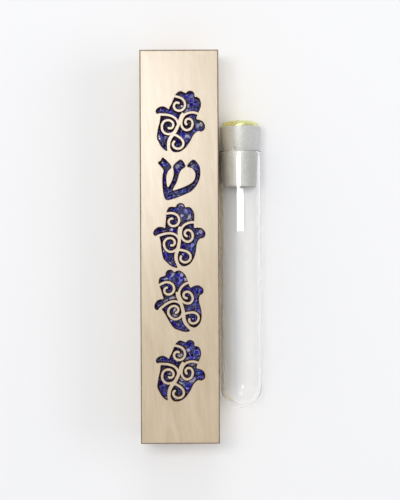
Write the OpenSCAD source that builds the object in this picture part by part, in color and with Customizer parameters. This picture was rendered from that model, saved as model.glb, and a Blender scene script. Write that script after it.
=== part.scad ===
// Mezuzah case with a fretwork front over crushed glass, its parchment scroll and its stoppered glass vial.
// The case lies on its back: +Z is out of the front face, +Y is the top end and +X is its right side.
// The origin is the middle of the back face, which goes against the doorpost. Lengths are in millimetres.

/* [Case] */
// Width of the case across the front
case_w = 30; // [25:0.5:40]
// Length of the case from end to end
case_l = 150; // [125:1:200]
// Thickness of the fretwork front panel
panel_t = 3; // [2:0.1:5]
// Thickness of the block that closes each end
end_t = 8; // [5:0.5:12]

/* [Crushed glass] */
// Depth of the glass layer behind the front panel
glass_t = 2; // [1:0.1:4]
// Thickness of the tray's floor under the glass
tray_floor_t = 0.8; // [0.6:0.1:3]
// Width of the tray's rim at each side of the glass
tray_rim = 3; // [1.5:0.1:4]

/* [Ornament] */
// Width of the wooden tendrils that stand inside each hand
tendril_w = 1.05; // [0.9:0.05:1.2]
// Extra width at the middle of each hand's stem
stem_swell = 0.45; // [0:0.05:0.6]
// Width of the slit that the cutting beam makes, so nothing narrower is cut
beam_w = 0.2; // [0.1:0.02:0.3]

/* [Sliding back] */
// Thickness of the back plate
plate_t = 2.8; // [2.4:0.1:5]
// Thickness of the rail's lip that the plate's tongue runs on
lip_t = 1.4; // [1:0.1:2]
// How far each tongue reaches into its rail
tongue_d = 1.6; // [1:0.1:2]
// Play of everything that slides, on each side
slide_gap = 0.15; // [0.1:0.05:0.4]
// Shank hole for the two doorpost screws
screw_hole_d = 3.5; // [3:0.1:5]
// Countersink diameter of the screw holes
screw_head_d = 6.6; // [5:0.1:9]
// Distance between the two screw holes
screw_pitch = 100; // [60:1:115]
// Width and depth of the nail groove that the slide is pulled by
nail_groove = 1.6; // [1:0.1:3]

/* [Scroll rests] */
// Wood left under the hollow of each rest
rest_floor = 0.6; // [0.4:0.1:2]
// Height of each rest above the plate
rest_h = 5; // [3:0.5:7]
// Thickness of each rest along the case
rest_t = 4; // [2:0.5:8]
// Distance between the two rests
rest_pitch = 56; // [30:1:70]

/* [Vial] */
// Outer diameter of the glass vial
vial_d = 16; // [13:0.5:20]
// Length of the glass vial
vial_l = 100; // [80:1:110]
// Thickness of the vial's wall
vial_wall = 1; // [0.8:0.1:2]
// Thickness of the fire-polished bead round the vial's mouth
mouth_bead = 1.2; // [1:0.1:2.4]
// How far above the middle of the case the vial's mouth lies
mouth_y = 37.2; // [20:0.1:60]
// Gap between the side of the case and the vial beside it
vial_gap = 0.45; // [0.2:0.05:5]
// Play round the vial when it is put away inside the case
cavity_gap = 1.6; // [1:0.1:2]
// Headroom over the vial's mouth when it is put away
head_gap = 0.4; // [0.3:0.1:2]

/* [Stopper] */
// Length of the stopper inside the vial
plug_l = 14; // [6:0.5:20]
// Length of the stopper outside the vial
grip_l = 9.6; // [5:0.1:15]
// How much wider than the bore the stopper is at its top, on each side
grip_flare = 0.8; // [0.3:0.1:2]
// Angle that the plug tapers at, on each side
plug_taper = 3; // [1:0.1:5]
// Gap between the stopper and the mouth of the bore
plug_gap = 0.06; // [0.05:0.01:0.2]
// Height of the cap on the stopper
cap_h = 2.5; // [1:0.1:5]
// How far the cap's edge stands in from the stopper's
cap_inset = 0.1; // [0:0.1:1]
// Roundness of the cap's edge, from nearly square to an even curve
cap_round = 0.8; // [0.5:0.05:1]

/* [Scroll] */
// Side of the square parchment sheet, which is also the length of the roll
sheet_w = 80; // [60:1:100]
// Thickness of the parchment
sheet_t = 0.3; // [0.2:0.05:0.4]
// Distance from one turn of the roll to the next
turn_pitch = 0.5; // [0.45:0.05:0.8]
// Radius of the open middle of the roll
roll_hollow_r = 2.5; // [1.5:0.1:4]

/* [Hidden] */
$fn = 64;
eps = 0.01;

maple = "#ecdcb9";
maple_dark = "#c9b083";
parchment = "#efe6cd";

// The vial's bore and mouth set the size of the space inside the case.
vial_r = vial_d / 2;
bore_r = vial_r - vial_wall;
mouth_r = bore_r + mouth_bead;
cavity_w = 2 * (mouth_r + cavity_gap);
cavity_h = rest_floor + vial_r + mouth_r + head_gap;
side_t = (case_w - cavity_w) / 2;

// Levels above the back face.
cavity_top = plate_t + cavity_h;
tray_top = cavity_top + tray_floor_t + glass_t;
case_h = tray_top + panel_t;

// The stopper's plug leaves the bore freely, and its grip is wider than the bore.
plug_r = bore_r - plug_gap;
tip_r = plug_r - plug_l * tan(plug_taper);
grip_r = bore_r + grip_flare;
edge_r = 0.5;

// The vial lies beside the case on the surface that the case lies on.
widest_r = max(mouth_r, vial_r, grip_r);
vial_x = case_w / 2 + vial_gap + widest_r;

// The parchment's own width fixes how many turns the roll has.
roll_turns = (sqrt(pow(roll_hollow_r, 2) + turn_pitch * sheet_w / PI) - roll_hollow_r) / turn_pitch;
roll_r = roll_hollow_r + turn_pitch * roll_turns + sheet_t / 2;
roll_gap = 0.1;

// The ornament is drawn for a face of this size and follows the real face.
drawn_w = 30;
drawn_l = 150;
motif_scale = min(case_w / drawn_w, case_l / drawn_l);
// Each hand's place on the face and its turn, clockwise, from the top.
hands = [[-0.4, 46.1, 19.5], [-0.1, 2.5, 0], [0.6, -22.1, -22.5], [-0.7, -48.8, 19]];
letter_place = [0, 25.9, 0];

// The hand's outline about the foot of its stem, clockwise from its middle finger.
hand_outline = [
    [-1.2, 12.7], [-0.7, 13.6], [0.5, 14.1], [1.7, 13.6], [2.3, 12.4], [3.2, 12.6], [4.3, 12.3],
    [5.3, 11], [5.7, 9.4], [5.6, 7.4], [5.5, 5.6], [5.8, 4.6], [7, 4.7], [8.4, 4.5], [9.5, 3.5], [9.9, 2.1],
    [9.1, 0.9], [7.9, 0.7], [7, -0.4], [6.5, -1.9], [6.3, -3.7], [5.8, -5.8], [5.1, -7.5],
    [3.8, -9.1], [2, -9.9], [0.8, -9.6], [-0.4, -8.6], [-0.9, -10.4], [-3, -9.8], [-4.7, -8.4],
    [-6, -7], [-6.5, -5], [-6.8, -3.1], [-7, -1], [-7.4, 0.9], [-7.9, 2.3], [-9.1, 1.7],
    [-9.8, 2.4], [-9.7, 3.4], [-8.9, 4.4], [-7.7, 5], [-6.3, 4.9], [-5.4, 4.6], [-5.2, 6],
    [-5, 7.6], [-4.9, 9.2], [-4.8, 10.7], [-4, 12.3], [-3, 12.7], [-2.1, 12.6]];
// The stem that the tendrils grow from, from its tip down to the wrist.
stem_line = [[0.3, 5.3], [-0.1, 3.5], [0, 0], [-0.5, -3.2], [-1.1, -4.9], [-1.3, -6.7],
    [-0.9, -8.4], [-0.2, -10.2], [0.3, -11.2]];
// Each tendril is a spiral: its centre, then the angle and radius of points along it.
tendrils = [
    [[-2.5, 7.4], [[132, 3.7], [100, 3], [0, 2.5], [-73, 2.1], [-156, 1.7], [-262, 0.8]]],
    [[3.1, 2.5], [[58, 5], [100, 3.7], [157, 2.7], [196, 2.5], [234, 2.8], [273, 3.1],
        [310, 2.7], [341, 2.1], [381, 1.7], [470, 1.3], [545, 1], [614, 1]]],
    [[-3.3, -1.1], [[147, 5.3], [129, 4.4], [98, 3.8], [43, 3.6], [-13, 3.2], [-96, 3.3],
        [-156, 2.7], [-190, 2.5], [-260, 2], [-354, 1.6], [-438, 0.9]]],
    [[1.8, -6.5], [[124, 3.4], [96, 2.6], [58, 2.4], [0, 2.5], [-73, 2], [-148, 1.6], [-195, 1.2]]]];

// The letter shin about its own middle, clockwise from its left head.
letter_outline = [
    [-6.1, 8], [-7, 6.9], [-8, 6], [-5.9, 3.4], [-6.3, 1.5], [-6.4, -1.3], [-6.2, -4.2], [-5.5, -7.4],
    [-4, -8], [-0.4, -6.9], [2.3, -5.8], [4.5, -4.7], [6.5, -2.5], [7.7, 0.2], [7.9, 2.6],
    [7.5, 5], [5.3, 7.2], [3, 4.8], [4.8, 4.1], [5.9, 2.8], [6.2, 1.5], [5.8, -0.4],
    [4.5, -1.8], [1.8, -3.2], [-2, -4.5], [-2.6, -4.4], [-2, -2.9], [-1.2, -1.6], [-0.5, 0.6],
    [-0.1, 2], [0.8, 3.5], [2.3, 4.8], [0.7, 7.2], [-1.2, 6.1], [-2.3, 4.7], [-2.1, 3.1],
    [-2.1, 1.5], [-2.6, -0.3], [-3.4, -2.1], [-4.3, -3.3], [-4.8, -2.5], [-5, -0.6],
    [-5, 1.2], [-4.2, 3.1], [-3.1, 4.8]];

// A point on the smooth curve between b and c, with a and d as its neighbours.
function curve_point(a, b, c, d, t) =
    (2 * b + (c - a) * t + (2 * a - 5 * b + 4 * c - d) * t * t
    + (3 * b - a - 3 * c + d) * t * t * t) / 2;

// A smooth closed curve through the points.
function closed_curve(p, steps = 3) = let (n = len(p)) [
    for (i = [0:n - 1]) for (s = [0:steps - 1])
        curve_point(p[(i + n - 1) % n], p[i], p[(i + 1) % n], p[(i + 2) % n], s / steps)];

// A smooth curve from the first point to the last.
function open_curve(p, steps = 4) = let (last = len(p) - 1) concat(
    [for (i = [0:last - 1]) for (s = [0:steps - 1])
        curve_point(p[max(i - 1, 0)], p[i], p[i + 1], p[min(i + 2, last)], s / steps)],
    [p[last]]);

function unit(v) = v / norm(v);
function left_of(v) = [-v[1], v[0]];

// The outline of a band that follows a line, swelling towards its middle.
function band(line, width, swell = 0) = let (last = len(line) - 1, side = [
    for (i = [0:last]) left_of(unit(line[min(i + 1, last)] - line[max(i - 1, 0)]))
        * (width + swell * sin(180 * i / last)) / 2]) concat(
    [for (i = [0:last]) line[i] + side[i]],
    [for (i = [last:-1:0]) line[i] - side[i]]);

// A spiral tendril's centre line.
function tendril_line(tendril) = [
    for (s = open_curve(tendril[1])) tendril[0] + s[1] * [cos(s[0]), sin(s[0])]];

// One hand as it is cut: the tendrils and their stem are left standing in it.
module hand_cut() {
    difference() {
        polygon(closed_curve(hand_outline));
        polygon(band(open_curve(stem_line), tendril_w, stem_swell));
        for (tendril = tendrils) {
            line = tendril_line(tendril);
            polygon(band(line, tendril_w));
            translate(line[len(line) - 1]) circle(d = tendril_w, $fn = 16);
        }
    }
}

module letter_cut() {
    polygon(closed_curve(letter_outline));
}

// Puts a motif at its place on the face.
module placed(place) {
    translate([place[0] * case_w / drawn_w, place[1] * case_l / drawn_l])
        rotate(-place[2]) scale(motif_scale)
            offset(delta = beam_w / 2) offset(delta = -beam_w / 2) children();
}

module front_panel() {
    color(maple) difference() {
        translate([-case_w / 2, -case_l / 2, tray_top]) cube([case_w, case_l, panel_t]);
        translate([0, 0, tray_top - eps]) linear_extrude(panel_t + 2 * eps) {
            for (hand = hands) placed(hand) hand_cut();
            placed(letter_place) letter_cut();
        }
    }
}

// The bed of crushed glass lies in the tray, level with the tray's rim.
module glass_bed() {
    w = case_w - 2 * tray_rim;
    l = case_l - 2 * end_t;
    color("#1d3fb4") translate([-w / 2, -l / 2, tray_top - glass_t]) cube([w, l, glass_t]);
}

module glass_tray() {
    w = case_w - 2 * tray_rim;
    l = case_l - 2 * end_t;
    color(maple_dark) difference() {
        translate([-case_w / 2, -case_l / 2, cavity_top])
            cube([case_w, case_l, tray_floor_t + glass_t]);
        translate([-w / 2, -l / 2, tray_top - glass_t]) cube([w, l, glass_t + eps]);
    }
}

// A side rail at the case's right, grooved for the back plate's tongue up to the top end.
module rail() {
    difference() {
        translate([case_w / 2 - side_t, -case_l / 2, 0]) cube([side_t, case_l, cavity_top]);
        translate([cavity_w / 2 - eps, -case_l / 2 - eps, lip_t])
            cube([tongue_d + slide_gap + eps, case_l - end_t + eps, plate_t - lip_t + slide_gap]);
    }
}

module right_side() {
    color(maple) rail();
}

module left_side() {
    color(maple) mirror([1, 0, 0]) rail();
}

module top_end() {
    color(maple) translate([-cavity_w / 2, case_l / 2 - end_t, 0])
        cube([cavity_w, end_t, cavity_top]);
}

// The back plate is flush with the rails' backs, and its tongues run on their lips.
module back_plate() {
    l = case_l - end_t - slide_gap;
    w = cavity_w - 2 * slide_gap;
    color(maple_dark) difference() {
        translate([0, -case_l / 2, 0]) {
            translate([-w / 2, 0, 0]) cube([w, l, plate_t]);
            translate([-cavity_w / 2 - tongue_d, 0, lip_t + slide_gap])
                cube([cavity_w + 2 * tongue_d, l, plate_t - lip_t - slide_gap]);
        }
        for (y = [-1, 1] * screw_pitch / 2) translate([0, y, 0]) {
            translate([0, 0, -eps]) cylinder(d = screw_hole_d, h = plate_t + 2 * eps);
            translate([0, 0, plate_t - (screw_head_d - screw_hole_d) / 2])
                cylinder(d1 = screw_hole_d, d2 = screw_head_d + 2 * eps,
                    h = (screw_head_d - screw_hole_d) / 2 + eps);
        }
    }
}

// The bottom end is glued on the back plate and slides out with it.
module bottom_end() {
    w = cavity_w - 2 * slide_gap;
    h = cavity_h - slide_gap;
    color(maple) difference() {
        translate([-w / 2, -case_l / 2, plate_t]) cube([w, end_t, h]);
        translate([-w / 2 - eps, -case_l / 2, plate_t + h / 2]) rotate([0, 90, 0])
            cylinder(r = nail_groove, h = w + 2 * eps);
    }
}

// A rest is hollowed to the round of the vial, and the scroll lies in it too.
module rest(y) {
    w = cavity_w - 2 * slide_gap;
    hollow_r = vial_r + slide_gap;
    color(maple_dark) difference() {
        translate([-w / 2, y - rest_t / 2, plate_t]) cube([w, rest_t, rest_h]);
        translate([0, y - rest_t / 2 - eps, plate_t + rest_floor + hollow_r])
            rotate([-90, 0, 0]) cylinder(r = hollow_r, h = rest_t + 2 * eps, $fn = 96);
    }
}

module upper_rest() {
    rest(rest_pitch / 2);
}

module lower_rest() {
    rest(-rest_pitch / 2);
}

// The parchment is a square sheet rolled from its left edge, lying in the rests.
module scroll() {
    steps = ceil(roll_turns * 24);
    line = [for (i = [0:steps]) let (turn = roll_turns * i / steps)
        (roll_hollow_r + turn_pitch * turn) * [cos(360 * turn), sin(360 * turn)]];
    color(parchment) translate([0, sheet_w / 2, plate_t + rest_floor + roll_gap + roll_r])
        rotate([90, 0, 0]) linear_extrude(sheet_w) polygon(band(line, sheet_t));
}

// Stands what is drawn upright from the vial's foot in the vial's place, foot down the case.
module on_vial_axis() {
    translate([vial_x, mouth_y - vial_l, widest_r]) rotate([-90, 0, 0]) children();
}

module vial_tube() {
    neck = vial_l - mouth_bead / 2;
    color([0.9, 0.95, 0.95, 0.35]) on_vial_axis() difference() {
        union() {
            translate([0, 0, vial_r]) sphere(r = vial_r);
            translate([0, 0, vial_r]) cylinder(r = vial_r, h = neck - vial_r);
            translate([0, 0, neck]) rotate_extrude()
                translate([bore_r + mouth_bead / 2, 0]) circle(d = mouth_bead, $fn = 32);
        }
        translate([0, 0, vial_r]) sphere(r = bore_r);
        translate([0, 0, vial_r]) cylinder(r = bore_r, h = vial_l);
    }
}

// A tapered cork: its plug stands in the bore and its grip swells out above the mouth.
module stopper() {
    steps = 6;
    grip = [for (i = [0:steps]) let (t = i / steps)
        [plug_r + (grip_r - plug_r) * sin(90 * t), (grip_l - edge_r) * t]];
    color("#a9aaa6") on_vial_axis() translate([0, 0, vial_l]) rotate_extrude()
        polygon(concat([[0, -plug_l], [tip_r - edge_r, -plug_l], [tip_r, edge_r - plug_l]], grip,
            [[grip_r - edge_r, grip_l], [0, grip_l]]));
}

// A cushion-shaped cap on the stopper's top, flat in the middle and round at its edge.
module stopper_cap() {
    rim_r = grip_r - edge_r - cap_inset;
    steps = 14;
    cushion = [for (i = [0:steps]) let (a = 90 * i / steps)
        [rim_r * pow(cos(a), cap_round), cap_h * pow(sin(a), cap_round)]];
    color("#cdbd62") on_vial_axis() translate([0, 0, vial_l + grip_l])
        rotate_extrude() polygon(concat([[0, 0]], cushion));
}

front_panel();
glass_bed();
glass_tray();
left_side();
right_side();
top_end();
back_plate();
bottom_end();
upper_rest();
lower_rest();
scroll();
vial_tube();
stopper();
stopper_cap();
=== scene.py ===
"""A wooden doorpost case with a fretwork front over crushed glass, its scroll and its vial."""

import math
import random

import bmesh
import bpy
from mathutils import Euler, Matrix, Vector, noise


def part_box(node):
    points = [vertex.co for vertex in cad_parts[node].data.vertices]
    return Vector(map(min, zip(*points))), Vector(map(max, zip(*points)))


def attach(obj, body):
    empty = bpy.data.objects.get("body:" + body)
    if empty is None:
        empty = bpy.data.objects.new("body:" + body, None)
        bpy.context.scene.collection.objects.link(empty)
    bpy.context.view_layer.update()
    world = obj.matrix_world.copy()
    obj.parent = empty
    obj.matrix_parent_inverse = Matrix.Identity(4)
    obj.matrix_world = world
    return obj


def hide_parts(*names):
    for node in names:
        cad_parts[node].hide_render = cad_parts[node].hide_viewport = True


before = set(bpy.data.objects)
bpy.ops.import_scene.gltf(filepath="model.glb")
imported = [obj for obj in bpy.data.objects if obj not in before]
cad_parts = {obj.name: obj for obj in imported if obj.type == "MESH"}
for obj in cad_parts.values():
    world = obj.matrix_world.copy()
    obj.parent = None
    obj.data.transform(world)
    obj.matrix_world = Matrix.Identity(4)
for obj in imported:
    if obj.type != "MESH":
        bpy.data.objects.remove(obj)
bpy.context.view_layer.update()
mm = 0.001


# ---- View and light -------------------------------------------------------------------------
# The case lies on its back on a white table and is seen from straight above through a long lens.
# A soft box overhead, to the left, lights the wood and puts the long streak on the vial. A window
# past the top end, a weak fill from the right and a white room soften the shadows.

def rgb(code):
    """An sRGB hex colour as linear red, green, blue and alpha."""
    parts = [int(code[i:i + 2], 16) / 255 for i in (1, 3, 5)]
    return (*[c / 12.92 if c <= 0.04045 else ((c + 0.055) / 1.055) ** 2.4 for c in parts], 1.0)


def new_material(name):
    """A material, its node tree and its main shader."""
    material = bpy.data.materials.new(name)
    material.use_nodes = True
    return material, material.node_tree, material.node_tree.nodes["Principled BSDF"]


scene = bpy.context.scene
scene.view_settings.view_transform = "Standard"

# An 86 mm lens on a 24 mm high sensor, 0.7 m up, looks down almost plumb. Its small turns are in
# radians.
camera_data = bpy.data.cameras.new("camera")
camera_data.sensor_fit = "VERTICAL"
camera_data.sensor_height = 24
camera_data.lens = 86.496
camera = bpy.data.objects.new("camera", camera_data)
camera.location = Vector((6.8, 0.6, 711.8)) * mm
camera.rotation_euler = (-0.0027, -0.0014, -0.0043)
scene.collection.objects.link(camera)
scene.camera = camera


def soft_box(name, centre, aim, size, watts, colour, mirrored=True):
    """A rectangular lamp that faces a point. Unmirrored, it leaves no bright patch on glass."""
    lamp = bpy.data.lights.new(name, "AREA")
    lamp.shape = "RECTANGLE"
    lamp.size, lamp.size_y = size
    lamp.energy = watts
    lamp.color = rgb(colour)[:3]
    holder = bpy.data.objects.new(name, lamp)
    holder.location = centre
    holder.rotation_euler = (Vector(aim) - Vector(centre)).to_track_quat("-Z", "Y").to_euler()
    holder.visible_glossy = holder.visible_transmission = mirrored
    scene.collection.objects.link(holder)


# Places and sizes in metres, power in watts.
soft_box("overhead_box", (-0.160, 0.110, 0.90), (-0.160, 0.110, 0), (0.32, 0.193), 2.75, "#fffefb")
soft_box("end_window", (0.10, 1.60, 1.10), (0, 0, 0), (0.90, 0.60), 4.6, "#fffdfb")
soft_box("side_fill", (0.80, 0.05, 0.62), (0.02, 0, 0), (0.60, 0.50), 2.0, "#fffdfb", mirrored=False)

world = bpy.data.worlds.new("white_room")
scene.world = world
world.use_nodes = True
world.node_tree.nodes["Background"].inputs["Color"].default_value = rgb("#f9fbff")
world.node_tree.nodes["Background"].inputs["Strength"].default_value = 0.66

bpy.ops.object.select_all(action="DESELECT")
bpy.ops.mesh.primitive_plane_add(size=4)
table = bpy.context.object
table.name = "table"
# Matt white card: even and almost without gloss, so that it takes soft shadows.
white_card, tree, shader = new_material("white card")
shader.inputs["Base Color"].default_value = rgb("#ededee")
shader.inputs["Roughness"].default_value = 0.85
shader.inputs["Specular IOR Level"].default_value = 0.2
table.data.materials.append(white_card)


# ---- Case body and sliding back --------------------------------------------------------------
# Two grooved rails, a top block and a tray are glued up from planed maple. The back board, with
# its bottom block and two scroll rests, slides out downwards on its tongues. Every piece is sawn
# square, and its sharp edges are eased with fine paper.

def take(piece):
    """Makes one piece the only selected one and the active one."""
    bpy.ops.object.select_all(action="DESELECT")
    piece.select_set(True)
    bpy.context.view_layer.objects.active = piece


def worked_copy(node, name, ease=0.0, weld=0.001 * mm):
    """A piece with a CAD node's shape, its corners welded and its sharp edges eased by a bevel."""
    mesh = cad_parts[node].data.copy()
    mesh.materials.clear()
    piece = bpy.data.objects.new(name, mesh)
    scene.collection.objects.link(piece)
    take(piece)
    bpy.ops.object.mode_set(mode="EDIT")
    bpy.ops.mesh.select_all(action="SELECT")
    bpy.ops.mesh.remove_doubles(threshold=weld)
    if ease:
        # The flat facets are joined, so that the bevel meets no seam between them.
        bpy.ops.mesh.dissolve_limited(angle_limit=math.radians(0.5))
    bpy.ops.object.mode_set(mode="OBJECT")
    if ease:
        bevel = piece.modifiers.new("eased_edges", "BEVEL")
        bevel.width = ease
        bevel.segments = 2
        bevel.limit_method = "ANGLE"
        bevel.angle_limit = math.radians(30)
        bpy.ops.object.modifier_apply(modifier=bevel.name)
    bpy.ops.object.shade_smooth_by_angle(angle=math.radians(30))
    return piece


def add_node(tree, kind, inputs=None, **settings):
    """Adds one shader node with its settings. Inputs are values or links, by name or number."""
    node = tree.nodes.new(kind)
    for name, value in settings.items():
        setattr(node, name, value)
    for name, value in (inputs or {}).items():
        if isinstance(value, bpy.types.NodeSocket):
            tree.links.new(value, node.inputs[name])
        else:
            node.inputs[name].default_value = value
    return node


def maple(name, pale, dark, along, roughness=0.42):
    """Planed maple: pale and even, with faint straight streaks, fine pores and a silky sheen."""
    material, tree, shader = new_material(name)
    place = add_node(tree, "ShaderNodeTexCoord").outputs["Object"]
    # Fibre streaks are 0.9 mm wide and 22 mm long, growth bands 7 mm wide and 40 mm long, and
    # pores 0.25 mm wide and 2.5 mm long. The board is cut a few degrees off the run of the grain.
    lean_angle = math.radians(-6)
    layers = []
    for wide, long, detail, wander in (
            (0.9, 22, 3.0, 1.0),
            (7, 40, 3.0, 2.2),
            (0.25, 2.5, 0.0, 0.0)):
        across, down = 1 / (wide * mm), 1 / (long * mm)
        scale = (down, across, across) if along == "X" else (across, down, across)
        lean = add_node(tree, "ShaderNodeMapping", {
            "Vector": place, "Rotation": (0, 0, lean_angle)})
        spot = add_node(tree, "ShaderNodeMapping", {
            "Vector": lean.outputs["Vector"], "Scale": scale})
        layers.append(add_node(tree, "ShaderNodeTexNoise", {
            "Vector": spot.outputs["Vector"], "Scale": 1.0, "Detail": detail,
            "Distortion": wander}).outputs["Fac"])
    fibre, bands, pores = layers
    both = add_node(tree, "ShaderNodeMath", {0: fibre, 1: 0.6, 2: bands}, operation="MULTIPLY_ADD")
    tone = add_node(tree, "ShaderNodeMapRange", {
        "Value": both.outputs["Value"], "From Min": 0.55, "From Max": 1.05})
    streaked = add_node(tree, "ShaderNodeMix", {
        0: tone.outputs["Result"], 6: rgb(dark), 7: rgb(pale)}, data_type="RGBA")
    specks = add_node(tree, "ShaderNodeMapRange", {
        "Value": pores, "From Min": 0.64, "From Max": 0.76, "To Min": 0.0, "To Max": 0.3})
    pored = add_node(tree, "ShaderNodeMix", {
        0: specks.outputs["Result"], 6: streaked.outputs[2], 7: rgb(dark)}, data_type="RGBA")
    tree.links.new(pored.outputs[2], shader.inputs["Base Color"])
    gloss = add_node(tree, "ShaderNodeMapRange", {
        "Value": fibre, "To Min": roughness - 0.06, "To Max": roughness + 0.08})
    tree.links.new(gloss.outputs["Result"], shader.inputs["Roughness"])
    bump = add_node(tree, "ShaderNodeBump", {
        "Height": fibre, "Strength": 0.2, "Distance": 0.05 * mm})
    tree.links.new(bump.outputs["Normal"], shader.inputs["Normal"])
    return material


# The rails' maple is drawn paler than the lacquered front. This is partly the bare planed wood and
# partly painted fill light, which lifts the shaded gap between the case and the vial.
side_maple = maple("planed side maple with painted fill", "#eee1c9", "#dcc9a7", "Y")
inner_maple = maple("planed inner maple", "#e2cfae", "#cbb088", "Y")
cross_maple = maple("cross-cut inner maple", "#dfcaa8", "#c4a77e", "X")

eased_edge = 0.22 * mm
for node, name, body, slot, wood in (
        ("left_side", "left_rail", "case", "side_maple", side_maple),
        ("right_side", "right_rail", "case", "side_maple", side_maple),
        ("top_end", "top_block", "case", "side_maple", cross_maple),
        ("glass_tray", "glass_well", "case", "inner_maple", inner_maple),
        ("back_plate", "back_board", "back_slide", "inner_maple", inner_maple),
        ("bottom_end", "bottom_block", "back_slide", "side_maple", cross_maple),
        ("upper_rest", "upper_cradle", "back_slide", "inner_maple", cross_maple),
        ("lower_rest", "lower_cradle", "back_slide", "inner_maple", cross_maple)):
    piece = worked_copy(node, name, eased_edge)
    piece.data.materials.append(wood)
    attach(piece, body)
    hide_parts(node)


# ---- Crushed glass ---------------------------------------------------------------------------
# Cobalt glass with a little turquoise and clear, crushed to chips about 2 mm long. One layer of
# chips is glued over finer grit in the tray, and it shows through the fretwork.

well_low, well_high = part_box("glass_bed")
dice = random.Random(18)


def glass_chip(name, cuts):
    """One splinter of unit size: a faceted ball with a few flat breaks."""
    bpy.ops.object.select_all(action="DESELECT")
    bpy.ops.mesh.primitive_ico_sphere_add(subdivisions=1, radius=1.0)
    chip = bpy.context.object
    chip.name = name
    bpy.ops.object.mode_set(mode="EDIT")
    for _ in range(cuts):
        break_normal = Vector([dice.gauss(0, 1) for _ in range(3)]).normalized()
        bpy.ops.mesh.select_all(action="SELECT")
        bpy.ops.mesh.bisect(plane_co=break_normal * dice.uniform(0.3, 0.7), plane_no=break_normal,
                            use_fill=True, clear_outer=True)
    bpy.ops.mesh.select_all(action="SELECT")
    bpy.ops.mesh.remove_doubles(threshold=0.08)
    bpy.ops.mesh.normals_make_consistent(inside=False)
    bpy.ops.object.mode_set(mode="OBJECT")
    return chip


# Share of the chips in each colour: five blues from dark to pale, turquoise and near clear.
# Neighbours tend to be alike, in clusters of the size given.
glass_colours = ((0.22, "#270d72"), (0.30, "#3317b4"), (0.18, "#3a2ed4"), (0.11, "#3f60e0"),
                 (0.09, "#959eff"), (0.03, "#5a90b0"), (0.07, "#e4e0ff"))
cluster_size = 7 * mm
# Chips lie in staggered rows, each shifted and tilted a little. A chip is a flat splinter.
chip_pitch, chip_depth = 1.9 * mm, 1.0 * mm
edge_margin, both_margins, shift = 1.2 * mm, 2 * mm, 0.5
tilt, flatness = 0.22, 0.42
rows = int((well_high.y - well_low.y - both_margins) / chip_pitch) + 1
columns = int((well_high.x - well_low.x - both_margins) / chip_pitch) + 1
chip_masters = [glass_chip(f"chip_{i}", 4 + i % 3) for i in range(6)]
chips = []
for row in range(rows):
    for column in range(columns):
        master = dice.choice(chip_masters)
        half = dice.uniform(1.15, 1.9) * mm
        place = Vector((
            well_low.x + edge_margin + (column + 0.5 * (row % 2) - 0.1) * chip_pitch,
            well_low.y + edge_margin + row * chip_pitch,
            well_high.z - chip_depth + dice.uniform(-0.25, 0.15) * mm))
        place.x = min(place.x + dice.uniform(-shift, shift) * mm, well_high.x - edge_margin)
        place.y = min(place.y + dice.uniform(-shift, shift) * mm, well_high.y - edge_margin)
        turn = Euler((dice.gauss(0, tilt), dice.gauss(0, tilt), dice.uniform(0, math.tau)))
        size = Matrix.Diagonal((half, half * dice.uniform(0.5, 0.85), half * flatness, 1))
        mesh = master.data.copy()
        mesh.transform(Matrix.Translation(place) @ turn.to_matrix().to_4x4() @ size)
        cluster = noise.noise(place / cluster_size)
        draw = min(dice.random() * (1 + 0.5 * cluster) + 0.25 * cluster, 0.99)
        for share, colour in glass_colours:
            draw -= share
            if draw < 0:
                break
        shade = dice.uniform(0.75, 1.25)
        tint = [min(1.0, c * shade) for c in rgb(colour)[:3]] + [dice.random()]
        attribute = mesh.color_attributes.new("tint", "FLOAT_COLOR", "POINT")
        attribute.data.foreach_set("color", tint * len(mesh.vertices))
        chip = bpy.data.objects.new("chip", mesh)
        scene.collection.objects.link(chip)
        chips.append(chip)
for master in chip_masters:
    bpy.data.objects.remove(master)
bpy.ops.object.select_all(action="DESELECT")
for chip in chips:
    chip.select_set(True)
bpy.context.view_layer.objects.active = chips[0]
bpy.ops.object.join()
glass_layer = chips[0]
glass_layer.name = "crushed_glass"
# No chip reaches through the tray's walls or up into the front.
wall_gap, top_gap = 0.05 * mm, 0.06 * mm
for vertex in glass_layer.data.vertices:
    vertex.co.z = min(vertex.co.z, well_high.z - top_gap)
    vertex.co.x = min(max(vertex.co.x, well_low.x + wall_gap), well_high.x - wall_gap)
    vertex.co.y = min(max(vertex.co.y, well_low.y + wall_gap), well_high.y - wall_gap)

# Broken cobalt glass: deep colour with pale cracks inside, and a wet gloss on every facet.
cobalt_glass, tree, shader = new_material("crushed cobalt glass")
place = add_node(tree, "ShaderNodeTexCoord").outputs["Object"]
tint = add_node(tree, "ShaderNodeAttribute", attribute_name="tint")
crack_size = 1.5 * mm
cracks = add_node(tree, "ShaderNodeTexNoise", {
    "Vector": place, "Scale": 1 / crack_size, "Detail": 2.0, "Distortion": 2.2})
crack_share = add_node(tree, "ShaderNodeMapRange", {
    "Value": cracks.outputs["Fac"], "From Min": 0.58, "From Max": 0.72,
    "To Min": 0.0, "To Max": 0.35})
cracked = add_node(tree, "ShaderNodeMix", {
    0: crack_share.outputs["Result"], 6: tint.outputs["Color"], 7: rgb("#9aa6f0")},
    data_type="RGBA")
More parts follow.
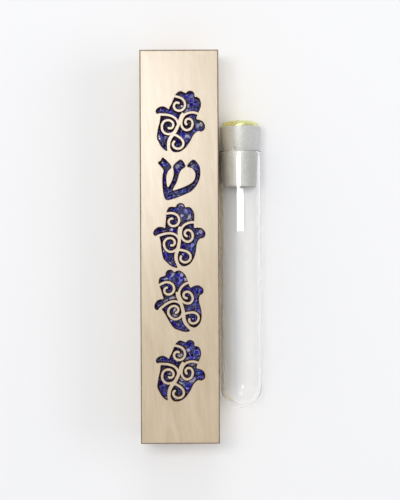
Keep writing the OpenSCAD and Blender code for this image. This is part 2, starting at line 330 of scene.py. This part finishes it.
# Fracture planes, 2 mm apart and bent, are painted as thin pale lines: painted highlights where they
# catch the light.
bend = add_node(tree, "ShaderNodeVectorMath", {
    0: cracks.outputs["Color"], "Scale": 3 * mm}, operation="SCALE")
bent = add_node(tree, "ShaderNodeMix", {
    0: 0.35, 6: place, 7: bend.outputs["Vector"]}, data_type="RGBA", blend_type="ADD")
fractures = add_node(tree, "ShaderNodeTexVoronoi", {
    "Vector": bent.outputs[2], "Scale": 1 / (2.0 * mm)}, feature="DISTANCE_TO_EDGE")
fracture_highlight_share = add_node(tree, "ShaderNodeMapRange", {
    "Value": fractures.outputs["Distance"], "From Min": 0.02, "From Max": 0.07,
    "To Min": 0.7, "To Max": 0.0})
highlighted = add_node(tree, "ShaderNodeMix", {
    0: fracture_highlight_share.outputs["Result"], 6: cracked.outputs[2], 7: rgb("#c2c4ff")},
    data_type="RGBA")
# Between the cracks the eye sees down into the dark of the chip.
depth = add_node(tree, "ShaderNodeMapRange", {
    "Value": cracks.outputs["Fac"], "From Min": 0.30, "From Max": 0.48,
    "To Min": 0.65, "To Max": 0.0})
deepened = add_node(tree, "ShaderNodeMix", {
    0: depth.outputs["Result"], 6: highlighted.outputs[2], 7: rgb("#0d0a3c")}, data_type="RGBA")
tree.links.new(deepened.outputs[2], shader.inputs["Base Color"])
ripple = add_node(tree, "ShaderNodeTexNoise", {
    "Vector": place, "Scale": 1 / (0.9 * mm), "Detail": 1.0, "Distortion": 0.6})
ripples = add_node(tree, "ShaderNodeBump", {
    "Height": ripple.outputs["Fac"], "Strength": 0.4, "Distance": 0.12 * mm})
tree.links.new(ripples.outputs["Normal"], shader.inputs["Normal"])
haze = add_node(tree, "ShaderNodeMapRange", {
    "Value": ripple.outputs["Fac"], "To Min": 0.06, "To Max": 0.24})
tree.links.new(haze.outputs["Result"], shader.inputs["Roughness"])
shader.inputs["IOR"].default_value = 1.52
shader.inputs["Specular IOR Level"].default_value = 0.35
glass_layer.data.materials.clear()
glass_layer.data.materials.append(cobalt_glass)
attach(glass_layer, "case")
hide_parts("glass_bed")

# The grit under the chips is a crinkled skin, with a grid of about 0.6 mm.
bpy.ops.object.select_all(action="DESELECT")
bpy.ops.mesh.primitive_grid_add(x_subdivisions=40, y_subdivisions=224, size=1)
grit = bpy.context.object
grit.name = "glass_grit"
grit_height, grit_thickness = 0.85 * mm, 0.6 * mm
ripple_size, ripple_height = 0.9 * mm, 0.2 * mm
for vertex in grit.data.vertices:
    x = vertex.co.x * (well_high.x - well_low.x - 2 * wall_gap)
    y = vertex.co.y * (well_high.y - well_low.y - 2 * wall_gap)
    rise = noise.noise(Vector((x, y, 0)) / ripple_size) * ripple_height
    vertex.co = Vector((x, y, well_low.z + grit_height + rise))
skin = grit.modifiers.new("skin", "SOLIDIFY")
skin.thickness = grit_thickness
skin.offset = -1
bpy.ops.object.modifier_apply(modifier=skin.name)
# Fine cobalt frit: dark blue, half glossy sand with lighter grains about 0.35 mm across.
cobalt_grit, tree, shader = new_material("cobalt glass grit")
place = add_node(tree, "ShaderNodeTexCoord").outputs["Object"]
grains = add_node(tree, "ShaderNodeTexVoronoi", {"Vector": place, "Scale": 1 / (0.35 * mm)})
grain_draw = add_node(tree, "ShaderNodeSeparateColor", {"Color": grains.outputs["Color"]})
grain_tone = add_node(tree, "ShaderNodeMapRange", {
    "Value": grain_draw.outputs["Red"], "From Min": 0.3})
grain_mix = add_node(tree, "ShaderNodeMix", {
    0: grain_tone.outputs["Result"], 6: rgb("#0c0a38"), 7: rgb("#2a2f9a")}, data_type="RGBA")
tree.links.new(grain_mix.outputs[2], shader.inputs["Base Color"])
grain_bump = add_node(tree, "ShaderNodeBump", {
    "Height": grains.outputs["Distance"], "Strength": 0.8, "Distance": 0.1 * mm}, invert=True)
tree.links.new(grain_bump.outputs["Normal"], shader.inputs["Normal"])
shader.inputs["Roughness"].default_value = 0.35
shader.inputs["IOR"].default_value = 1.52
grit.data.materials.append(cobalt_grit)
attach(grit, "case")
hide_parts("glass_bed")


# ---- Fretwork front --------------------------------------------------------------------------
# A 3 mm maple board with four scrolled hands and a letter cut out by laser. The beam chars the
# walls of every cut brown and leaves a thin scorched line along the edges of the face.

front = worked_copy("front_panel", "fretwork_front", weld=0.05 * mm)
front_low, front_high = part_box("front_panel")
face_z = front_high.z
foot_lean = 0.32 * mm
# Widths of the scorched rim: its worn arris, its fading halo, and the border round the board.
arris, arris_drop, halo, border = 0.07 * mm, 0.04 * mm, 0.11 * mm, 0.34 * mm
# How burnt the walls, the rim, the board's border and the clean face are.
wall_char, rim_char, border_char, no_char = 1.0, 0.85, 0.9, 0.0


def at_rim(co):
    """Whether a point is within 1 mm of the board's long sides, and of its short ends."""
    near = 1 * mm
    return (not front_low.x + near < co.x < front_high.x - near,
            not front_low.y + near < co.y < front_high.y - near)


take(front)
bpy.ops.object.mode_set(mode="EDIT")
work = bmesh.from_edit_mesh(front.data)
char = work.verts.layers.float.new("char")
for vertex in work.verts:
    vertex[char] = wall_char
for face in work.faces:
    face.select_set(face.normal.z > 0.9)
# The beam is widest where it enters, so every wall leans into its opening towards the foot.
for vertex in work.verts:
    walls = [face.normal for face in vertex.link_faces if abs(face.normal.z) < 0.5]
    if walls and vertex.co.z < front_low.z + 0.01 * mm and not any(at_rim(vertex.co)):
        vertex.co += sum(walls, Vector()).normalized() * foot_lean
bmesh.update_edit_mesh(front.data)
for width, left in ((arris, rim_char), (halo, no_char)):
    bpy.ops.mesh.inset(thickness=width, depth=0, use_even_offset=True)
    work = bmesh.from_edit_mesh(front.data)
    char = work.verts.layers.float["char"]
    for vertex in {v for face in work.faces if face.select for v in face.verts}:
        vertex[char] = left
for vertex in work.verts:
    if vertex.co.z > face_z - 0.01 * mm and vertex[char] > 0.9:
        vertex.co.z -= arris_drop
# The board's own border is scorched wider than the fretwork, and the clean middle of the face
# is filled anew between the scorched rims.
bpy.ops.mesh.delete(type="FACE")
work = bmesh.from_edit_mesh(front.data)
for edge in work.edges:
    edge.select_set(edge.is_boundary and all(any(at_rim(v.co)) for v in edge.verts))
bmesh.update_edit_mesh(front.data)
bpy.ops.mesh.extrude_edges_move()
work = bmesh.from_edit_mesh(front.data)
char = work.verts.layers.float["char"]
for vertex in work.verts:
    at_side, at_end = at_rim(vertex.co)
    if vertex.select:
        vertex.co.x -= math.copysign(border, vertex.co.x) if at_side else 0
        vertex.co.y -= math.copysign(border, vertex.co.y) if at_end else 0
    elif (at_side or at_end) and vertex[char] < 0.5:
        vertex[char] = border_char
for edge in work.edges:
    edge.select_set(edge.is_boundary)
bmesh.update_edit_mesh(front.data)
bpy.ops.mesh.fill(use_beauty=True)
bpy.ops.object.mode_set(mode="OBJECT")
bpy.ops.object.shade_smooth_by_angle(angle=math.radians(25))

# Lacquered maple, browned by the beam where it was cut: glossy and pale, with matt dark edges.
laser_maple = maple("laser-cut lacquered maple", "#c6b499", "#b8a587", "Y", roughness=0.22)
tree = laser_maple.node_tree
shader = tree.nodes["Principled BSDF"]
clean_wood = shader.inputs["Base Color"].links[0].from_socket
clean_gloss = shader.inputs["Roughness"].links[0].from_socket
place = add_node(tree, "ShaderNodeTexCoord").outputs["Object"]
# The beam's pulses leave upright ridges 0.3 mm apart on the walls, drawn that coarse to show.
ridge_place = add_node(tree, "ShaderNodeMapping", {
    "Vector": place, "Scale": (1 / (0.3 * mm), 1 / (0.3 * mm), 1 / (5 * mm))})
ridges = add_node(tree, "ShaderNodeTexNoise", {
    "Vector": ridge_place.outputs["Vector"], "Scale": 1.0, "Detail": 2.0})
burnt = add_node(tree, "ShaderNodeMix", {
    0: ridges.outputs["Fac"], 6: rgb("#311d1c"), 7: rgb("#6b4535")}, data_type="RGBA")
char_share = add_node(tree, "ShaderNodeAttribute", attribute_name="char")
patches = add_node(tree, "ShaderNodeTexNoise", {
    "Vector": place, "Scale": 1 / (1.2 * mm), "Detail": 2.0})
patchy = add_node(tree, "ShaderNodeMapRange", {
    "Value": patches.outputs["Fac"], "To Min": 0.7, "To Max": 1.3})
burn = add_node(tree, "ShaderNodeMath", {
    0: char_share.outputs["Fac"], 1: patchy.outputs["Result"]},
    operation="MULTIPLY", use_clamp=True)
scorched = add_node(tree, "ShaderNodeMix", {
    0: burn.outputs["Value"], 6: clean_wood, 7: burnt.outputs[2]}, data_type="RGBA")
tree.links.new(scorched.outputs[2], shader.inputs["Base Color"])
# Lacquer lies on the clean face alone. The char is matt.
matt = add_node(tree, "ShaderNodeMix", {0: burn.outputs["Value"], 2: clean_gloss, 3: 0.85})
tree.links.new(matt.outputs[0], shader.inputs["Roughness"])
lacquer = add_node(tree, "ShaderNodeMapRange", {
    "Value": burn.outputs["Value"], "To Min": 0.8, "To Max": 0.1})
tree.links.new(lacquer.outputs["Result"], shader.inputs["Specular IOR Level"])
front.data.materials.append(laser_maple)
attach(front, "case")
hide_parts("front_panel")


# ---- Parchment scroll ------------------------------------------------------------------------
# A strip of calfskin parchment, written side in, is rolled up tight and lies on the two rests.
# Its ends are cut by hand, so the turns don't lie quite flush.

parchment = worked_copy("scroll", "parchment_scroll")
roll_low, roll_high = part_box("scroll")
raggedness, ragged_pitch, end_zone = 0.5 * mm, 1.5 * mm, 0.1 * mm
for vertex in parchment.data.vertices:
    wave = noise.noise(Vector((vertex.co.x, 0, vertex.co.z)) / ragged_pitch)
    step = (0.5 + 0.5 * wave) * raggedness
    if vertex.co.y > roll_high.y - end_zone:
        vertex.co.y -= step
    elif vertex.co.y < roll_low.y + end_zone:
        vertex.co.y += step
# Scraped calfskin: warm cream, clouded, with hair follicles as fine dark specks and a dull gloss.
calfskin, tree, shader = new_material("scraped calfskin parchment")
place = add_node(tree, "ShaderNodeTexCoord").outputs["Object"]
clouds = add_node(tree, "ShaderNodeTexNoise", {
    "Vector": place, "Scale": 1 / (9 * mm), "Detail": 4.0})
clouded = add_node(tree, "ShaderNodeMix", {
    0: clouds.outputs["Fac"], 6: rgb("#d9c79c"), 7: rgb("#f1e7c9")}, data_type="RGBA")
follicles = add_node(tree, "ShaderNodeTexVoronoi", {"Vector": place, "Scale": 1 / (0.8 * mm)})
follicle_share = add_node(tree, "ShaderNodeMapRange", {
    "Value": follicles.outputs["Distance"], "From Min": 0.08, "From Max": 0.22,
    "To Min": 0.35, "To Max": 0.0})
speckled = add_node(tree, "ShaderNodeMix", {
    0: follicle_share.outputs["Result"], 6: clouded.outputs[2], 7: rgb("#a88d5e")},
    data_type="RGBA")
tree.links.new(speckled.outputs[2], shader.inputs["Base Color"])
skin_bump = add_node(tree, "ShaderNodeBump", {
    "Height": clouds.outputs["Fac"], "Strength": 0.3, "Distance": 0.2 * mm})
tree.links.new(skin_bump.outputs["Normal"], shader.inputs["Normal"])
shader.inputs["Roughness"].default_value = 0.55
parchment.data.materials.append(calfskin)
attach(parchment, "scroll")
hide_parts("scroll")


# ---- Glass vial ------------------------------------------------------------------------------
# A drawn borosilicate test tube, 16 by 100 mm with a 1 mm wall: round bottom, and a mouth that
# is fire-polished to a soft bead. It lies beside the case, for the parchment.

def lathe(name, stations, axis_x, axis_z, steps):
    """A turned piece: one point is extruded along a profile of (Y, radius) and then spun."""
    bpy.ops.object.select_all(action="DESELECT")
    first_y, first_r = stations[0]
    bpy.ops.mesh.primitive_plane_add(size=mm, location=(axis_x, first_y, axis_z + first_r))
    piece = bpy.context.object
    piece.name = name
    bpy.ops.object.transform_apply(location=True, rotation=True, scale=True)
    bpy.ops.object.mode_set(mode="EDIT")
    bpy.ops.mesh.select_mode(type="VERT")
    bpy.ops.mesh.select_all(action="SELECT")
    bpy.ops.mesh.merge(type="CENTER")
    for (y0, r0), (y1, r1) in zip(stations, stations[1:]):
        bpy.ops.mesh.extrude_region_move(TRANSFORM_OT_translate={"value": (0, y1 - y0, r1 - r0)})
    bpy.ops.mesh.select_all(action="SELECT")
    bpy.ops.mesh.spin(steps=steps, angle=math.tau, center=(axis_x, 0, axis_z), axis=(0, 1, 0))
    bpy.ops.mesh.select_all(action="SELECT")
    bpy.ops.mesh.remove_doubles(threshold=0.002 * mm)
    bpy.ops.mesh.normals_make_consistent(inside=False)
    bpy.ops.object.mode_set(mode="OBJECT")
    return piece


def arc(centre_y, radius, start, end, steps, centre_r=0.0):
    """Profile points on a circle, between two angles in degrees, measured from straight out."""
    return [(centre_y + radius * math.sin(a), centre_r + radius * math.cos(a))
            for a in (math.radians(start + (end - start) * i / steps) for i in range(steps + 1))]


vial_low, vial_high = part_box("vial_tube")
vial_x, vial_z = (vial_low.x + vial_high.x) / 2, (vial_low.z + vial_high.z) / 2
wall, bead = 1.0 * mm, 1.2 * mm
lip_r = (vial_high.x - vial_low.x) / 2
tube_r = lip_r - (bead - wall)
bore_r = tube_r - wall
belly_y = vial_low.y + tube_r
bead_y = vial_high.y - bead / 2
# The round bottom is half a millimetre thicker than the wall. Rings near both ends of each long
# face keep the shading of the bottom and of the mouth from spreading along it.
tube_profile = (
    arc(belly_y, tube_r, -90, 0, 16)
    + [(belly_y + 1.0 * mm, tube_r), (bead_y - 3.0 * mm, tube_r), (bead_y - 2.2 * mm, tube_r),
       (bead_y - 1.2 * mm, tube_r + 0.02 * mm)]
    + arc(bead_y, bead / 2, -60, 90, 8, centre_r=lip_r - bead / 2)
    + arc(bead_y, bead / 2, 110, 175, 4, centre_r=lip_r - bead / 2)
    + [(bead_y - 1.0 * mm, bore_r), (bead_y - 2.0 * mm, bore_r), (belly_y + 1.5 * mm, bore_r)]
    + arc(belly_y + 0.5 * mm, bore_r, 0, -90, 14))
tube = lathe("glass_vial", tube_profile, vial_x, vial_z, 72)
take(tube)
bpy.ops.object.shade_smooth_by_angle(angle=math.radians(60))
# Clear borosilicate: colourless and sharp, with the faint lengthwise draw lines of cane tubing.
clear_glass, tree, shader = new_material("clear borosilicate glass")
place = add_node(tree, "ShaderNodeTexCoord").outputs["Object"]
draw_place = add_node(tree, "ShaderNodeMapping", {
    "Vector": place, "Scale": (1 / (2.5 * mm), 1 / (70 * mm), 1 / (2.5 * mm))})
draw_lines = add_node(tree, "ShaderNodeTexNoise", {
    "Vector": draw_place.outputs["Vector"], "Scale": 1.0, "Detail": 1.0})
draw_bump = add_node(tree, "ShaderNodeBump", {
    "Height": draw_lines.outputs["Fac"], "Strength": 0.15, "Distance": 0.05 * mm})
tree.links.new(draw_bump.outputs["Normal"], shader.inputs["Normal"])
smear = add_node(tree, "ShaderNodeMapRange", {
    "Value": draw_lines.outputs["Fac"], "From Min": 0.4, "From Max": 0.8,
    "To Min": 0.0, "To Max": 0.05})
tree.links.new(smear.outputs["Result"], shader.inputs["Roughness"])
shader.inputs["Base Color"].default_value = rgb("#ffffff")
shader.inputs["Transmission Weight"].default_value = 1.0
shader.inputs["IOR"].default_value = 1.47
# Lamps shine through it, so that it throws only the faint shadow that clear glass does.
lamp_pass = add_node(tree, "ShaderNodeBsdfTransparent", {"Color": rgb("#e4e4e4")})
lamp_rays = add_node(tree, "ShaderNodeLightPath").outputs["Is Shadow Ray"]
either = add_node(tree, "ShaderNodeMixShader", {
    0: lamp_rays, 1: shader.outputs["BSDF"], 2: lamp_pass.outputs["BSDF"]})
tree.links.new(either.outputs["Shader"], tree.nodes["Material Output"].inputs["Surface"])
tube.data.materials.append(clear_glass)
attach(tube, "vial")
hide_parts("vial_tube")


# ---- Stopper ---------------------------------------------------------------------------------
# A tapered cork, sealed and painted silver all over. The cork's pores show through the paint as
# small pits, and a pale gold cap, pressed from thin sheet, is glued on its wide end.

plug_low, plug_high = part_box("stopper")
grip_r = (plug_high.x - plug_low.x) / 2
mouth_y, tip_y, crown_y = vial_high.y, plug_low.y, plug_high.y
tip_r, seat_r = 6.206 * mm, bore_r - 0.06 * mm
corner = 0.5 * mm
# The plug is 0.06 mm clear of the bore and tapers by 3 degrees over its 14 mm, and the grip swells
# out above the mouth. The rings are close together, so that the pits have points to sink.
plug_rings, grip_rings, face_rings = 55, 36, 8
cork_profile = [(tip_y, tip_r * i / face_rings) for i in range(face_rings)]
cork_profile += arc(tip_y + corner, corner, -90, -5, 5, centre_r=tip_r - corner)
for i in range(1, plug_rings + 1):
    cork_profile.append((tip_y + corner + (mouth_y - tip_y - corner) * i / plug_rings,
                         tip_r + (seat_r - tip_r) * i / plug_rings))
for i in range(1, grip_rings + 1):
    share = i / grip_rings
    cork_profile.append((mouth_y + (crown_y - corner - mouth_y) * share,
                         seat_r + (grip_r - seat_r) * math.sin(share * math.pi / 2)))
cork_profile += arc(crown_y - corner, corner, 8, 90, 5, centre_r=grip_r - corner)
cork_profile += [(crown_y, (grip_r - corner) * i / face_rings)
                 for i in range(face_rings - 1, -1, -1)]
cork = lathe("silver_stopper", cork_profile, vial_x, vial_z, 150)

# Small pits all round, each a centre, a radius and a depth, and one deep pit just above the mouth.
dice = random.Random(5)
pit_count, swell_size, swell = 34, 2.2 * mm, 0.02 * mm
pits = []
for _ in range(pit_count):
    pit_y, turn = dice.uniform(tip_y + mm, crown_y - mm), dice.uniform(0, math.tau)
    out = Vector((math.cos(turn), 0, math.sin(turn)))
    pits.append((Vector((vial_x, pit_y, vial_z)) + out * (tip_r + grip_r) / 2,
                 dice.uniform(0.25, 0.6) * mm, dice.uniform(0.08, 0.22) * mm))
deep_pit = Vector((vial_x - 2.7 * mm, mouth_y + 0.9 * mm, vial_z + 6.8 * mm))
pits.append((deep_pit, 0.55 * mm, 0.45 * mm))
for vertex in cork.data.vertices:
    out = Vector((vertex.co.x - vial_x, 0, vertex.co.z - vial_z))
    if out.length < tip_r - corner:
        continue
    outward = out.normalized()
    sink = swell * (1 + noise.noise(vertex.co / swell_size))
    for centre, radius, deep in pits:
        offset = vertex.co - centre
        away = (offset - outward * offset.dot(outward)).length
        if away < radius and out.dot(centre - Vector((vial_x, 0, vial_z))) > 0:
            sink += deep * math.cos(away / radius * math.pi / 2) ** 2
    vertex.co -= outward * sink
take(cork)
bpy.ops.object.shade_smooth_by_angle(angle=math.radians(40))
# Silver paint on cork: a soft metallic grey with the cork's 1 mm grain just showing. Its flakes
# are drawn 0.25 mm across, coarser than real, to show as a fleck in the gloss.
silver_paint, tree, shader = new_material("silver paint on cork")
place = add_node(tree, "ShaderNodeTexCoord").outputs["Object"]
cork_grain = add_node(tree, "ShaderNodeTexNoise", {
    "Vector": place, "Scale": 1 / (1.1 * mm), "Detail": 3.0})
flakes = add_node(tree, "ShaderNodeTexNoise", {
    "Vector": place, "Scale": 1 / (0.25 * mm), "Detail": 1.0})
silver_tone = add_node(tree, "ShaderNodeMix", {
    0: cork_grain.outputs["Fac"], 6: rgb("#b9b9b5"), 7: rgb("#d6d6d2")}, data_type="RGBA")
tree.links.new(silver_tone.outputs[2], shader.inputs["Base Color"])
silver_gloss = add_node(tree, "ShaderNodeMapRange", {
    "Value": flakes.outputs["Fac"], "To Min": 0.40, "To Max": 0.60})
tree.links.new(silver_gloss.outputs["Result"], shader.inputs["Roughness"])
silver_bump = add_node(tree, "ShaderNodeBump", {
    "Height": cork_grain.outputs["Fac"], "Strength": 0.35, "Distance": 0.08 * mm})
tree.links.new(silver_bump.outputs["Normal"], shader.inputs["Normal"])
shader.inputs["Metallic"].default_value = 0.45
cork.data.materials.append(silver_paint)
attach(cork, "stopper")
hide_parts("stopper")

cap_low, cap_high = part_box("stopper_cap")
cap_h, cap_r = cap_high.y - cap_low.y, (cap_high.x - cap_low.x) / 2
base_rings, crown_rings, squareness = 6, 24, 0.8
cap_profile = [(cap_low.y, cap_r * i / base_rings) for i in range(base_rings)]
for i in range(crown_rings + 1):
    turn = math.pi / 2 * i / crown_rings
    cap_profile.append((cap_low.y + cap_h * math.sin(turn) ** squareness,
                        cap_r * abs(math.cos(turn)) ** squareness))
cap = lathe("gold_cap", cap_profile, vial_x, vial_z, 72)
take(cap)
bpy.ops.object.shade_smooth_by_angle(angle=math.radians(35))
# Pressed pale gold sheet: a greenish yellow metal, bright on its crown, with dents 1.4 mm apart.
pale_gold, tree, shader = new_material("pressed pale gold sheet")
place = add_node(tree, "ShaderNodeTexCoord").outputs["Object"]
dents = add_node(tree, "ShaderNodeTexNoise", {
    "Vector": place, "Scale": 1 / (1.4 * mm), "Detail": 2.0})
gold_tone = add_node(tree, "ShaderNodeMix", {
    0: dents.outputs["Fac"], 6: rgb("#d2d188"), 7: rgb("#f2f2b8")}, data_type="RGBA")
tree.links.new(gold_tone.outputs[2], shader.inputs["Base Color"])
dent_bump = add_node(tree, "ShaderNodeBump", {
    "Height": dents.outputs["Fac"], "Strength": 0.4, "Distance": 0.1 * mm})
tree.links.new(dent_bump.outputs["Normal"], shader.inputs["Normal"])
gold_gloss = add_node(tree, "ShaderNodeMapRange", {
    "Value": dents.outputs["Fac"], "To Min": 0.20, "To Max": 0.36})
tree.links.new(gold_gloss.outputs["Result"], shader.inputs["Roughness"])
shader.inputs["Metallic"].default_value = 1.0
cap.data.materials.append(pale_gold)
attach(cap, "stopper")
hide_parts("stopper_cap")
